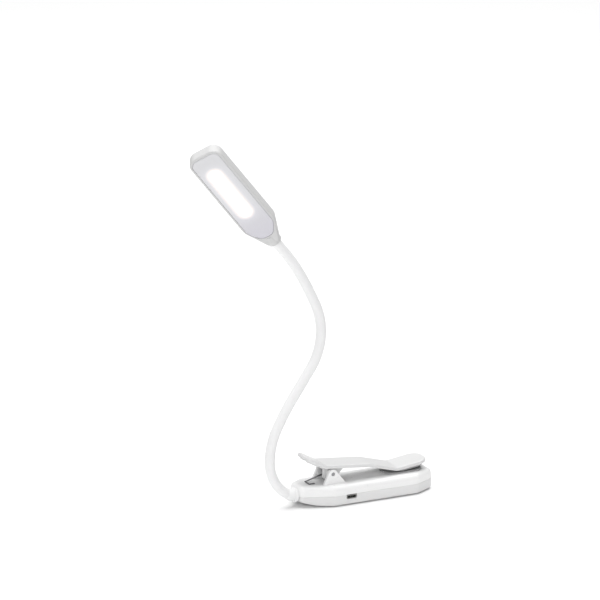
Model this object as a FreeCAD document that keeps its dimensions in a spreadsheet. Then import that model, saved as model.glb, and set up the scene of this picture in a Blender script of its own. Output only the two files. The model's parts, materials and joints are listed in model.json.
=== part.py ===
import FreeCAD, Part
import math
import os
import Sketcher

# Rechargeable clip-on reading lamp.  Millimetres, +Z up.
# Origin: centre of the base's underside.  The gooseneck leaves the base at its
# nose (-X); the clip's jaw closes towards +X; +Y is the button side.

V = FreeCAD.Vector
doc = FreeCAD.newDocument("reading_lamp")
sheet = doc.addObject("Spreadsheet::Sheet", "sheet")

DIMS = [
    # base casing
    ("base_len", "110", "overall length of the base"),
    ("base_wid", "34", "overall width of the base"),
    ("base_ht", "16", "underside to flat top"),
    ("nose_half", "7.5", "half width of the nose end, socket side"),
    ("nose_half_far", "10", "half width of the nose end, button side"),
    ("tail_half", "8.0", "half width of the tail end"),
    ("nose_run", "24.7", "length of the nose bevel, socket side"),
    ("nose_run_far", "10.5", "length of the nose bevel, button side"),
    ("tail_run", "15.6", "length of the tail bevels"),
    ("nose_corner", "5.5", "plan corner rounding at the ends"),
    ("side_corner", "6", "plan corner rounding at the long sides"),
    ("seam_z", "8.5", "parting line height"),
    ("seam_vee", "0.22", "vee at the parting line"),
    ("foot_proud", "0.6", "how far the foot stands below the shell"),
    ("wall", "1.8", "casing wall"),
    ("top_round", "4.2", "shoulder rounding of the upper shell"),
    ("bottom_round", "2.2", "bottom rounding of the lower shell"),
    ("nose_rise", "4.1", "how far the underside sweeps up at the nose"),
    ("nose_sweep", "22", "length of that sweep"),
    ("cavity_nose", "13", "solid length behind the nose face"),
    # clip pivot
    ("pin_x", "-28.9", "clip pin centre"),
    ("pin_z", "23.8", "clip pin centre"),
    ("pin_dia", "3.0", "clip pin diameter"),
    ("pin_len", "19.6", "clip pin length"),
    ("pin_run", "0.05", "running clearance of the lever on the pin"),
    ("ear_round", "3.6", "rounding of the ears about the pin"),
    ("ear_foot_a", "-36.8", "ear foot, nose side"),
    ("ear_foot_b", "-17.6", "ear foot, tail side"),
    ("ear_out", "10.5", "half span over the ears"),
    ("ear_thk", "2.5", "ear thickness"),
    # clip lever
    ("lever_wid", "21", "lever width"),
    ("lever_thk", "2.8", "lever thickness"),
    ("lever_tip_x", "-50.4", "handle end, top surface"),
    ("lever_tip_z", "40.0", "handle end, top surface"),
    ("lever_kink_x", "-34.5", "handle bend, top surface"),
    ("lever_kink_z", "31.4", "handle bend, top surface"),
    ("lever_mid_x", "2", "start of the drop, top surface"),
    ("lever_mid_z", "27.6", "start of the drop, top surface"),
    ("lever_dip_x", "25.2", "jaw bend, top surface"),
    ("lever_dip_z", "21.1", "jaw bend, top surface"),
    ("lever_end_x", "51", "jaw end, top surface"),
    ("lever_end_z", "24.5", "jaw end, top surface"),
    ("lever_tip_round", "9.2", "plan rounding of the handle end"),
    ("lever_end_round", "8.2", "plan rounding of the jaw end"),
    ("lever_edge", "0.9", "edge rounding of the lever"),
    ("lug_in", "4.0", "inner face of the lever lugs"),
    ("lug_thk", "1.6", "lug thickness"),
    ("lug_hub", "3.2", "hub radius on the lugs"),
    ("hub_out", "7.8", "outer face of the hubs"),
    # jaw pads
    ("jaw_pad_a", "17", "base jaw pad, nose end"),
    ("jaw_pad_b", "47.5", "base jaw pad, tail end"),
    ("jaw_pad_half", "10.2", "base jaw pad half width"),
    ("jaw_pad_thk", "1.2", "base jaw pad thickness"),
    ("jaw_pad_corner", "8.0", "base jaw pad corner rounding"),
    ("tip_pad_len", "21", "lever jaw pad length"),
    ("tip_pad_half", "9.6", "lever jaw pad half width"),
    ("tip_pad_thk", "1.1", "lever jaw pad thickness"),
    # spring
    ("spring_wire", "1.0", "spring wire diameter"),
    ("spring_coil", "2.75", "mean radius of the coil"),
    ("spring_half", "3.35", "half width of the coil, wire centre to wire centre"),
    ("spring_foot_x", "-45.4", "bridge of the spring on the base top"),
    ("spring_top_x", "-43.5", "end of the spring under the handle"),
    # socket and button
    ("port_x", "-16.7", "charging socket centre"),
    ("port_z", "6.65", "charging socket centre"),
    ("port_wid", "8.7", "opening width in the casing"),
    ("port_ht", "3.3", "opening height in the casing"),
    ("socket_depth", "5.6", "depth of the metal socket"),
    ("button_x", "-16.7", "power button centre"),
    ("button_len", "8.4", "power button length"),
    ("button_ht", "3.3", "power button height"),
    ("button_gap", "0.2", "gap round the power button"),
    ("button_proud", "0.7", "how far the button stands out"),
    # gooseneck
    ("neck_z", "8.9", "height where the neck leaves the base"),
    ("neck_dia", "7.7", "outer diameter of the silicone sleeve"),
    ("core_dia", "3.8", "flexible metal core"),
    ("ball_dia", "5.2", "ball at the end of each core link"),
    ("ball_gap", "0.1", "clearance of the ball in its cup"),
    ("cup_back", "0.5", "how far a cup wraps behind its ball"),
    ("link_gap", "2.3", "sleeve end to ball centre"),
    ("core_gap", "3.2", "ball centre to the next core link"),
    ("neck_first", "13.2", "first stretch, fixed to the base"),
    ("neck_step", "25.65", "stretch between two bends"),
    ("neck_last", "13.1", "last stretch, up to the collar"),
    ("neck_start", "177", "heading at the nose, degrees from +X towards +Z"),
    ("turn_a", "-41.1", "turn of each stretch, degrees"),
    ("turn_b", "-46.2", ""),
    ("turn_c", "-26.3", ""),
    ("turn_d", "-8.4", ""),
    ("turn_e", "0", ""),
    ("turn_f", "29.8", ""),
    ("turn_g", "28.7", ""),
    ("turn_h", "5.4", ""),
    ("turn_i", "9.6", ""),
    ("turn_j", "0", ""),
    ("flange_dia", "11.8", "ring of the neck boot"),
    ("boot_dia", "10.2", "boot behind its ring"),
    # head
    ("head_len", "98.8", "collar end to tip"),
    ("head_wid", "27", "width"),
    ("head_thk", "10.2", "thickness"),
    ("head_shoulder", "21.5", "collar end to the shoulder"),
    ("head_collar_len", "3.4", "collar end to where the lens and cavity are set out from"),
    ("head_waist", "5.1", "half width where the head leaves the collar"),
    ("collar_run", "8.2", "length of the round collar"),
    ("head_collar_dia", "11.2", "collar diameter"),
    ("head_tip_round", "7.6", "plan rounding of the tip"),
    ("head_back_round", "2.2", "rounding of the back edge"),
    ("head_face_round", "1.5", "rounding of the face edge"),
    ("head_wall", "1.5", "wall"),
    ("lens_inset", "1.9", "lens edge inside the outline"),
    ("lens_thk", "1.6", "lens thickness"),
    ("lens_proud", "0.2", "lens crown above the face"),
    ("led_len", "58", "LED board length"),
    ("led_wid", "17", "LED board width"),
    ("face_nx", "-0.428", "direction the lit face looks in"),
    ("face_ny", "-0.840", ""),
    ("face_nz", "-0.334", ""),
]
for row, (alias, value, note) in enumerate(DIMS, start=1):
    sheet.set("A%d" % row, alias)
    sheet.set("B%d" % row, value)
    sheet.set("C%d" % row, note)
    sheet.setAlias("B%d" % row, alias)
doc.recompute()


class Dim:
    """A length that knows its value and the sheet expression it comes from."""

    def __init__(self, value, text):
        self.value, self.text = float(value), text

    @staticmethod
    def of(x):
        return x if isinstance(x, Dim) else Dim(x, repr(float(x)))

    def mix(self, other, sign, value):
        return Dim(value, "(%s %s %s)" % (self.text, sign, Dim.of(other).text))

    def __add__(self, o):
        return self.mix(o, "+", self.value + Dim.of(o).value)

    def __radd__(self, o):
        return Dim.of(o) + self

    def __sub__(self, o):
        return self.mix(o, "-", self.value - Dim.of(o).value)

    def __rsub__(self, o):
        return Dim.of(o) - self

    def __mul__(self, o):
        return self.mix(o, "*", self.value * Dim.of(o).value)

    def __rmul__(self, o):
        return Dim.of(o) * self

    def __truediv__(self, o):
        return self.mix(o, "/", self.value / Dim.of(o).value)

    def __neg__(self):
        return Dim(-self.value, "(0 - %s)" % self.text)

    def __float__(self):
        return self.value


class Sheet:
    def __getattr__(self, name):
        return Dim(sheet.get(name), "sheet." + name)


D = Sheet()
SUBPARTS = []


def bind(obj, path, dim):
    """Set a property and tie it to the sheet."""
    dim = Dim.of(dim)
    if "." not in path:
        setattr(obj, path, dim.value)
    if "sheet." in dim.text:
        obj.setExpression(path, dim.text)


def name_part(obj, label):
    obj.Label = label
    SUBPARTS.append(obj)
    return obj


def fail(words):
    raise SystemExit("part.py: " + words)


def sound(obj):
    doc.recompute()
    if "Invalid" in obj.State or "Error" in obj.State:
        fail("%s is %s" % (obj.Name, obj.State))
    if obj.Shape.isNull() or not obj.Shape.isValid():
        fail("%s has no valid shape" % obj.Name)
    return obj


# ---------------------------------------------------------------- PartDesign
def new_body(label):
    b = doc.addObject("PartDesign::Body", "body_" + label)
    return name_part(b, label)


def plane(b, role):
    return [f for f in b.Origin.OriginFeatures if f.Role == role][0]


def sketch(b, role, name, lift=0.0):
    sk = b.newObject("Sketcher::SketchObject", name)
    sk.AttachmentSupport = [(plane(b, role), "")]
    sk.MapMode = "FlatFace"
    lift = Dim.of(lift)
    sk.AttachmentOffset = FreeCAD.Placement(V(0, 0, lift.value), FreeCAD.Rotation())
    if "sheet." in lift.text:
        sk.setExpression("AttachmentOffset.Base.z", lift.text)
    return sk


def pin_down(sk, geo, end, x, y):
    """Tie one point of a sketch to x and y, measured from the sketch's origin."""
    for kind, dim, axis in (("DistanceX", Dim.of(x), -2), ("DistanceY", Dim.of(y), -1)):
        if abs(dim.value) < 1e-9:
            sk.addConstraint(Sketcher.Constraint("PointOnObject", geo, end, axis))
            continue
        i = sk.addConstraint(Sketcher.Constraint(kind, -1, 1, geo, end, dim.value))
        if "sheet." in dim.text:
            sk.setExpression("Constraints[%d]" % i, dim.text)


def polygon(sk, points, radii=()):
    """A closed outline through points, each an (x, y) pair of lengths.

    radii gives the rounding of some corners, by their place in points.  A round
    corner is an arc tangent to both its sides, with its centre and radius tied
    to the sheet; a sharp corner is tied itself.
    """
    radii = dict(radii)
    flat = [(Dim.of(x).value, Dim.of(y).value) for x, y in points]
    n = len(points)
    leave, reach, arcs = {}, {}, {}
    for i in range(n):
        (px, py), (ax, ay), (bx, by) = flat[i - 1], flat[i], flat[(i + 1) % n]
        leave[i] = reach[i] = (ax, ay)
        if i not in radii:
            continue
        r = Dim.of(radii[i])
        la, lb = math.hypot(px - ax, py - ay), math.hypot(bx - ax, by - ay)
        ua, ub = ((px - ax) / la, (py - ay) / la), ((bx - ax) / lb, (by - ay) / lb)
        half = 0.5 * math.acos(ua[0] * ub[0] + ua[1] * ub[1])
        back = r.value / math.tan(half)
        reach[i] = (ax + ua[0] * back, ay + ua[1] * back)
        leave[i] = (ax + ub[0] * back, ay + ub[1] * back)
        size = math.hypot(ua[0] + ub[0], ua[1] + ub[1])
        kx, ky = (ua[0] + ub[0]) / size, (ua[1] + ub[1]) / size
        out = 1.0 / math.sin(half)
        centre = (
            Dim.of(points[i][0]) + r * (kx * out),
            Dim.of(points[i][1]) + r * (ky * out),
        )
        left = ua[0] * ub[1] - ua[1] * ub[0] < 0
        arcs[i] = (centre, r, left)
    lines, bows = {}, {}
    for i in range(n):
        (ax, ay), (bx, by) = leave[i], reach[(i + 1) % n]
        lines[i] = sk.addGeometry(Part.LineSegment(V(ax, ay, 0), V(bx, by, 0)), False)
    for i, (centre, r, left) in arcs.items():
        cx, cy = centre[0].value, centre[1].value
        a0 = math.atan2(reach[i][1] - cy, reach[i][0] - cx)
        a1 = math.atan2(leave[i][1] - cy, leave[i][0] - cx)
        if not left:
            a0, a1 = a1, a0
        while a1 < a0:
            a1 += 2 * math.pi
        around = Part.Circle(V(cx, cy, 0), V(0, 0, 1), r.value)
        bows[i] = sk.addGeometry(Part.ArcOfCircle(around, a0, a1), False)
    for i in range(n):
        before, after = lines[(i - 1) % n], lines[i]
        if i not in arcs:
            sk.addConstraint(Sketcher.Constraint("Coincident", before, 2, after, 1))
            pin_down(sk, after, 1, *points[i])
            continue
        centre, r, left = arcs[i]
        first_end, last_end = (1, 2) if left else (2, 1)
        sk.addConstraint(Sketcher.Constraint("Tangent", before, 2, bows[i], first_end))
        sk.addConstraint(Sketcher.Constraint("Tangent", bows[i], last_end, after, 1))
        pin_down(sk, bows[i], 3, *centre)
        j = sk.addConstraint(Sketcher.Constraint("Radius", bows[i], r.value))
        if "sheet." in r.text:
            sk.setExpression("Constraints[%d]" % j, r.text)


def circle(sk, x, y, r):
    r = Dim.of(r)
    g = sk.addGeometry(
        Part.Circle(V(Dim.of(x).value, Dim.of(y).value, 0), V(0, 0, 1), r.value), False
    )
    if abs(Dim.of(x).value) < 1e-9 and abs(Dim.of(y).value) < 1e-9:
        sk.addConstraint(Sketcher.Constraint("Coincident", g, 3, -1, 1))
    else:
        pin_down(sk, g, 3, x, y)
    i = sk.addConstraint(Sketcher.Constraint("Radius", g, r.value))
    if "sheet." in r.text:
        sk.setExpression("Constraints[%d]" % i, r.text)


def both_sides(points):
    """A plan outline from its +y half, tip to tail, mirrored in the x axis."""
    return list(points) + [(x, -Dim.of(y)) for x, y in reversed(points)]


def pad(b, sk, name, length, symmetric=False, back=False):
    doc.recompute()
    before = b.Tip.Shape.Volume if b.Tip and not b.Tip.Shape.isNull() else 0.0
    f = b.newObject("PartDesign::Pad", name)
    f.Profile = sk
    bind(f, "Length", length)
    if symmetric:
        f.SideType = "Symmetric"
    f.Reversed = back
    sk.Visibility = False
    sound(f)
    if f.Shape.Volume <= before + 1e-6:
        fail("%s adds nothing" % name)
    return f


def pocket(b, sk, name, length=None, symmetric=False, back=False):
    doc.recompute()
    before = b.Tip.Shape.Volume
    f = b.newObject("PartDesign::Pocket", name)
    f.Profile = sk
    if length is None:
        f.Type = "ThroughAll"
    else:
        bind(f, "Length", length)
    if symmetric:
        f.SideType = "Symmetric"
    f.Reversed = back
    sk.Visibility = False
    sound(f)
    if f.Shape.Volume >= before - 1e-6:
        fail("%s cuts nothing" % name)
    return f


def dress(b, kind, name, size, test):
    """Fillet or chamfer the edges of the body's tip that the test picks."""
    doc.recompute()
    base = b.Tip
    names = [
        "Edge%d" % (i + 1) for i, e in enumerate(base.Shape.Edges) if test(e)
    ]
    if not names:
        fail("%s finds no edge" % name)
    f = b.newObject("PartDesign::" + kind, name)
    f.Base = (base, names)
    bind(f, "Radius" if kind == "Fillet" else "Size", size)
    return sound(f)


def at_z(e, z, tol=1e-4):
    bb = e.BoundBox
    return abs(bb.ZMin - z) < tol and abs(bb.ZMax - z) < tol


def upright(e):
    bb = e.BoundBox
    return bb.XLength < 1e-4 and bb.YLength < 1e-4 and bb.ZLength > 0.5


def crosswise(e):
    bb = e.BoundBox
    return bb.XLength < 1e-4 and bb.ZLength < 1e-4 and bb.YLength > 0.5


# ------------------------------------------------------------ Part primitives
def tool(kind, name, **sizes):
    obj = doc.addObject("Part::" + kind, name)
    for key, dim in sizes.items():
        bind(obj, key, dim)
    return obj


def place(obj, x, y, z, rotation=None):
    x, y, z = Dim.of(x), Dim.of(y), Dim.of(z)
    obj.Placement = FreeCAD.Placement(
        V(x.value, y.value, z.value), rotation or FreeCAD.Rotation()
    )
    for axis, dim in zip("xyz", (x, y, z)):
        if "sheet." in dim.text:
            obj.setExpression("Placement.Base." + axis, dim.text)
    return obj


def box(name, x, y, z, dx, dy, dz):
    return place(tool("Box", name, Length=dx, Width=dy, Height=dz), x, y, z)


ALONG_X = FreeCAD.Rotation(V(0, 1, 0), 90)
ALONG_Y = FreeCAD.Rotation(V(1, 0, 0), -90)


def rod(name, x, y, z, r, length, rotation=None):
    return place(tool("Cylinder", name, Radius=r, Height=length), x, y, z, rotation)


def cut(name, base, minus):
    obj = doc.addObject("Part::Cut", name)
    obj.Base, obj.Tool = base, minus
    return sound(obj)


def fuse(name, pieces):
    obj = doc.addObject("Part::MultiFuse", name)
    obj.Shapes = pieces
    return sound(obj)


def common(name, a, b):
    obj = doc.addObject("Part::Common", name)
    obj.Base, obj.Tool = a, b
    return sound(obj)


def round_edges(name, base, size, test):
    """A Part::Fillet of the edges that the test picks."""
    doc.recompute()
    size = Dim.of(size)
    picked = [
        (i + 1, size.value, size.value)
        for i, e in enumerate(base.Shape.Edges)
        if test(e)
    ]
    if not picked:
        fail("%s finds no edge" % name)
    obj = doc.addObject("Part::Fillet", name)
    obj.Base = base
    obj.Edges = picked
    return sound(obj)


# =================================================================== the base
half_len = D.base_len / 2
half_wid = D.base_wid / 2


def base_outline():
    """Plan of the casing: a long bevel to the nose on the socket side, a short one opposite."""
    return [
        (-half_len, D.nose_half_far),
        (-half_len + D.nose_run_far, half_wid),
        (half_len - D.tail_run, half_wid),
        (half_len, D.tail_half),
        (half_len, -D.tail_half),
        (half_len - D.tail_run, -half_wid),
        (-half_len + D.nose_run, -half_wid),
        (-half_len, -D.nose_half),
    ]


def cavity_outline():
    start = -half_len + D.cavity_nose
    edge = D.nose_half + (half_wid - D.nose_half) * D.cavity_nose / D.nose_run
    return both_sides(
        [
            (start, edge - D.wall * 1.1),
            (-half_len + D.nose_run + D.wall * 0.2, half_wid - D.wall),
            (half_len - D.tail_run - D.wall * 0.25, half_wid - D.wall),
            (half_len - D.wall, D.tail_half - D.wall * 0.6),
        ]
    )


def end_corner(e):
    return upright(e) and abs(e.BoundBox.XMin) > half_len.value - 0.1


def side_corner(e):
    return upright(e) and abs(abs(e.BoundBox.YMin) - half_wid.value) < 1e-3


SCREWS = [(-29.5, 11.0), (-29.5, -11.0), (45.5, 6.6), (45.5, -6.6)]

# ---- lower shell: tray with the swept-up nose, bosses, socket and button slots
b = new_body("base_lower_shell")
sk = sketch(b, "XY_Plane", "lower_plan", D.foot_proud)
polygon(sk, base_outline())
pad(b, sk, "lower_block", D.seam_z - D.foot_proud)
dress(b, "Fillet", "lower_end_corners", D.nose_corner, end_corner)
dress(b, "Fillet", "lower_side_corners", D.side_corner, side_corner)

# the underside curves up to the nose: an arc tangent to the flat bottom
sweep_r = (D.nose_sweep * D.nose_sweep + D.nose_rise * D.nose_rise) / (D.nose_rise * 2)
sk = sketch(b, "XZ_Plane", "nose_sweep_profile")
ax, az = (-half_len).value, (D.foot_proud + D.nose_rise).value
tx, tz = (-half_len + D.nose_sweep).value, D.foot_proud.value
cz = tz + sweep_r.value
g0 = sk.addGeometry(
    Part.Arc(
        V(ax, az, 0),
        V(
            tx - sweep_r.value * math.sin(0.5 * math.asin(D.nose_sweep.value / sweep_r.value)),
            cz - sweep_r.value * math.cos(0.5 * math.asin(D.nose_sweep.value / sweep_r.value)),
            0,
        ),
        V(tx, tz, 0),
    ),
    False,
)
g1 = sk.addGeometry(Part.LineSegment(V(tx, tz, 0), V(tx, tz - 3, 0)), False)
g2 = sk.addGeometry(Part.LineSegment(V(tx, tz - 3, 0), V(ax - 3, tz - 3, 0)), False)
g3 = sk.addGeometry(Part.LineSegment(V(ax - 3, tz - 3, 0), V(ax - 3, az + 0.8, 0)), False)
g4 = sk.addGeometry(Part.LineSegment(V(ax - 3, az + 0.8, 0), V(ax, az, 0)), False)
sk.Visibility = False
pocket(b, sk, "nose_sweep_cut", 60, symmetric=True)


def bottom_rim(e):
    bb = e.BoundBox
    if bb.ZMax > az + 0.2 or upright(e):
        return False
    mid = e.valueAt(0.5 * (e.FirstParameter + e.LastParameter))
    # not the two seams across the flat and the swept face, nor the nose edge line
    if bb.XLength < 1e-4 and bb.YLength > 2 and abs(bb.XMin) < half_len.value - 0.1:
        return False
    return True


dress(b, "Fillet", "lower_bottom_round", D.bottom_round, bottom_rim)
dress(b, "Chamfer", "lower_seam_vee", D.seam_vee, lambda e: at_z(e, D.seam_z.value))

sk = sketch(b, "XY_Plane", "lower_cavity_plan", D.seam_z)
polygon(sk, cavity_outline())
pocket(b, sk, "lower_cavity", D.seam_z - D.foot_proud - D.wall)

sk = sketch(b, "XY_Plane", "lower_boss_plan", D.foot_proud + D.wall * 0.5)
for x, y in SCREWS:
    circle(sk, x, y, 3.0)
pad(b, sk, "lower_bosses", D.seam_z - D.foot_proud - D.wall * 0.5)
sk = sketch(b, "XY_Plane", "screw_hole_plan")
for x, y in SCREWS:
    circle(sk, x, y, 1.1)
pocket(b, sk, "screw_holes", D.seam_z + 1, back=True)
sk = sketch(b, "XY_Plane", "screw_head_plan")
for x, y in SCREWS:
    circle(sk, x, y, 2.05)
pocket(b, sk, "screw_head_recesses", 3.0, back=True)

# shelf under the circuit board
sk = sketch(b, "XY_Plane", "board_shelf_plan", D.foot_proud + D.wall * 0.5)
polygon(sk, [(-24.5, -14.6), (-21.5, -14.6), (-21.5, 14.2), (-24.5, 14.2)])
polygon(sk, [(-12.5, -14.6), (-9.8, -14.6), (-9.8, 14.2), (-12.5, 14.2)])
pad(b, sk, "board_shelf", 4.3 - D.foot_proud - D.wall * 0.5)

# recess for the foot
sk = sketch(b, "XY_Plane", "foot_recess_plan", D.foot_proud)
foot_points = both_sides([(-32.5, 9.4), (-26.5, 13.2), (36.0, 13.2), (48.0, 6.4)])
polygon(sk, foot_points)
pocket(b, sk, "foot_recess", 0.6, back=True)

# charging socket slot in the near side, open to the parting line
sk = sketch(b, "XZ_Plane", "port_slot_profile", half_wid - 3.2)
polygon(
    sk,
    [
        (D.port_x - D.port_wid / 2, D.seam_z + 0.4),
        (D.port_x - D.port_wid / 2, D.port_z - D.port_ht / 2 + 0.9),
        (D.port_x - D.port_wid / 2 + 0.9, D.port_z - D.port_ht / 2),
        (D.port_x + D.port_wid / 2 - 0.9, D.port_z - D.port_ht / 2),
        (D.port_x + D.port_wid / 2, D.port_z - D.port_ht / 2 + 0.9),
        (D.port_x + D.port_wid / 2, D.seam_z + 0.4),
    ],
)
pocket(b, sk, "port_slot", 4.0, back=True)

# power button slot in the far side, open to the parting line
btn_low = D.seam_z - D.button_ht - D.button_gap * 2
sk = sketch(b, "XZ_Plane", "button_slot_profile", -half_wid - 1.0)
polygon(
    sk,
    [
        (D.button_x - D.button_len / 2 - D.button_gap, D.seam_z + 0.4),
        (D.button_x - D.button_len / 2 - D.button_gap, btn_low),
        (D.button_x + D.button_len / 2 + D.button_gap, btn_low),
        (D.button_x + D.button_len / 2 + D.button_gap, D.seam_z + 0.4),
    ],
)
pocket(b, sk, "button_slot", 4.0, back=True)

# half of the neck bore
sk = sketch(b, "YZ_Plane", "lower_neck_bore", -half_len - 1)
circle(sk, 0, D.neck_z, D.neck_dia / 2 + 0.15)
pocket(b, sk, "lower_neck_cut", D.cavity_nose + 2, back=True)
lower_shell = b

# ---- upper shell: lid with the two clip ears
b = new_body("base_upper_shell")
sk = sketch(b, "XY_Plane", "upper_plan", D.seam_z)
polygon(sk, base_outline())
pad(b, sk, "upper_block", D.base_ht - D.seam_z)
dress(b, "Fillet", "upper_end_corners", D.nose_corner, end_corner)
dress(b, "Fillet", "upper_side_corners", D.side_corner, side_corner)
dress(b, "Fillet", "upper_top_round", D.top_round, lambda e: at_z(e, D.base_ht.value))
dress(b, "Chamfer", "upper_seam_vee", D.seam_vee, lambda e: at_z(e, D.seam_z.value))
sk = sketch(b, "XY_Plane", "upper_cavity_plan", D.seam_z)
polygon(sk, cavity_outline())
pocket(b, sk, "upper_cavity", D.base_ht - D.seam_z - D.wall, back=True)
sk = sketch(b, "XY_Plane", "upper_boss_plan", D.seam_z)
for x, y in SCREWS:
    circle(sk, x, y, 2.8)
pad(b, sk, "upper_bosses", D.base_ht - D.seam_z - D.wall * 0.5)
sk = sketch(b, "XY_Plane", "upper_screw_plan", D.seam_z)
for x, y in SCREWS:
    circle(sk, x, y, 1.0)
pocket(b, sk, "upper_screw_holes", 4.2, back=True)


def ear_profile(sk, foot_a, foot_b, foot_z):
    """Triangle with a round top about the pin: two lines tangent to an arc."""
    cx, cz, r = D.pin_x, D.pin_z, D.ear_round

    def tangent(px, pz, side):
        dx, dz = px - cx.value, pz - cz.value
        return math.atan2(dz, dx) + side * math.acos(r.value / math.hypot(dx, dz))

    def on_arc(angle):
        return V(cx.value + r.value * math.cos(angle), cz.value + r.value * math.sin(angle), 0)

    from_b = tangent(foot_b.value, foot_z.value, 1)
    to_a = tangent(foot_a.value, foot_z.value, -1) + 2 * math.pi
    end_a, end_b = V(foot_a.value, foot_z.value, 0), V(foot_b.value, foot_z.value, 0)
    first = sk.GeometryCount
    sk.addGeometry(Part.LineSegment(end_a, on_arc(to_a)), False)
    around = Part.Circle(V(cx.value, cz.value, 0), V(0, 0, 1), r.value)
    sk.addGeometry(Part.ArcOfCircle(around, from_b, to_a), False)
    sk.addGeometry(Part.LineSegment(on_arc(from_b), end_b), False)
    sk.addGeometry(Part.LineSegment(end_b, end_a), False)
    sk.addConstraint(Sketcher.Constraint("Tangent", first, 2, first + 1, 2))
    sk.addConstraint(Sketcher.Constraint("Tangent", first + 1, 1, first + 2, 1))
    sk.addConstraint(Sketcher.Constraint("Coincident", first + 2, 2, first + 3, 1))
    sk.addConstraint(Sketcher.Constraint("Coincident", first + 3, 2, first, 1))
    pin_down(sk, first, 1, foot_a, foot_z)
    pin_down(sk, first + 3, 1, foot_b, foot_z)
    pin_down(sk, first + 1, 3, cx, cz)
    i = sk.addConstraint(Sketcher.Constraint("Radius", first + 1, r.value))
    sk.setExpression("Constraints[%d]" % i, r.text)


for side, lift in (("near", D.ear_out - D.ear_thk), ("far", -D.ear_out)):
    sk = sketch(b, "XZ_Plane", "ear_%s_profile" % side, lift)
    ear_profile(sk, D.ear_foot_a, D.ear_foot_b, D.base_ht - 0.8)
    pad(b, sk, "ear_" + side, D.ear_thk)


def ear_rim(e):
    bb = e.BoundBox
    if bb.ZMax < D.base_ht.value + 1 or bb.YLength > 1e-4:
        return False
    return abs(abs(bb.YMin) - D.ear_out.value) < 1e-3 and bb.ZMax > D.base_ht.value + 2


dress(b, "Fillet", "ear_edge_round", 0.45, ear_rim)
sk = sketch(b, "XZ_Plane", "pin_bore_profile")
circle(sk, D.pin_x, D.pin_z, D.pin_dia / 2)
pocket(b, sk, "pin_bore", D.ear_out * 2 + 4, symmetric=True)
sk = sketch(b, "YZ_Plane", "upper_neck_bore", -half_len - 1)
circle(sk, 0, D.neck_z, D.neck_dia / 2 + 0.15)
pocket(b, sk, "upper_neck_cut", D.cavity_nose + 2, back=True)
upper_shell = b

# ---- foot under the base: a rubber sheet that hides the screws
b = new_body("anti_slip_foot")
sk = sketch(b, "XY_Plane", "foot_plan")
polygon(sk, both_sides([(-32.2, 9.2), (-26.4, 12.95), (35.9, 12.95), (47.7, 6.3)]))
pad(b, sk, "foot_block", D.foot_proud + 0.6)
dress(b, "Fillet", "foot_corners", 1.5, upright)
dress(b, "Fillet", "foot_edge", 0.3, lambda e: at_z(e, 0.0))

# ---- four self-tapping screws
screws = []
for i, (x, y) in enumerate(SCREWS):
    head = tool("Cone", "screw_head_%d" % i, Radius1=1.9, Radius2=1.5, Height=1.2)
    place(head, x, y, 1.75)
    shank = rod("screw_shank_%d" % i, x, y, 2.9, 1.0, 9.4)
    point = place(tool("Cone", "screw_point_%d" % i, Radius1=1.0, Radius2=0.35, Height=0.35), x, y, 12.3)
    slot_a = box("screw_slot_a%d" % i, x - 0.9, y - 0.18, 1.7, 1.8, 0.36, 0.6)
    slot_b = box("screw_slot_b%d" % i, x - 0.18, y - 0.9, 1.7, 0.36, 1.8, 0.6)
    whole = fuse("screw_blank_%d" % i, [head, shank, point])
    cross = fuse("screw_cross_%d" % i, [slot_a, slot_b])
    screws.append(cut("screw_%d" % i, whole, cross))
group = doc.addObject("Part::Compound", "case_screw_group")
group.Links = screws
name_part(group, "case_screws")

# ---- circuit board with its parts
name_part(
    cut(
        "board_cut",
        box("board_blank", -25.4, -14.9, 4.3, 17.0, 27.6, 1.0),
        rod("board_notch", -17.0, 12.6, 4.0, 0.9, 2.0),
    ),
    "control_board",
)
chip = box("charge_chip", -21.5, -4.0, 5.3, 4.9, 3.9, 1.5)
coil = round_edges(
    "coil_round", box("inductor", -14.6, -4.5, 5.3, 4.6, 4.6, 2.4), 0.8, upright
)
cap_a = box("cap_a", -22.0, 3.6, 5.3, 2.0, 1.25, 0.9)
cap_b = box("cap_b", -22.0, 6.2, 5.3, 2.0, 1.25, 0.9)
cap_c = box("cap_c", -13.6, 3.0, 5.3, 1.25, 2.0, 0.9)
led = box("charge_led", -11.8, -13.4, 5.3, 1.6, 0.8, 0.7)
group = doc.addObject("Part::Compound", "board_part_group")
group.Links = [chip, coil, cap_a, cap_b, cap_c, led]
name_part(group, "board_parts")

# ---- charging socket: folded metal shell, wider at the top, with its tongue
socket_z = D.port_z - 1.35


def socket_ring(b, name, grow, lift):
    sk = sketch(b, "XZ_Plane", name, lift)
    polygon(
        sk,
        [
            (D.port_x - 3.85 - grow, D.port_z + 1.3 + grow),
            (D.port_x - 3.85 - grow, D.port_z - 0.1),
            (D.port_x - 3.0 - grow * 0.6, D.port_z - 1.3 - grow),
            (D.port_x + 3.0 + grow * 0.6, D.port_z - 1.3 - grow),
            (D.port_x + 3.85 + grow, D.port_z - 0.1),
            (D.port_x + 3.85 + grow, D.port_z + 1.3 + grow),
        ],
    )
    return sk


b = new_body("usb_socket")
pad(b, socket_ring(b, "socket_outer", 0.0, half_wid - 0.25 - D.socket_depth), "socket_block", D.socket_depth)
pocket(
    b,
    socket_ring(b, "socket_inner", -0.3, half_wid - 0.25 - D.socket_depth + 0.6),
    "socket_hollow",
    D.socket_depth + 1,
    back=True,
)
tongue = box("tongue_blade", D.port_x - 1.85, -half_wid + 1.3, D.port_z + 0.15, 3.7, 3.9, 0.55)
name_part(round_edges("tongue_round", tongue, 0.2, lambda e: e.BoundBox.YLength > 3), "usb_tongue")

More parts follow.
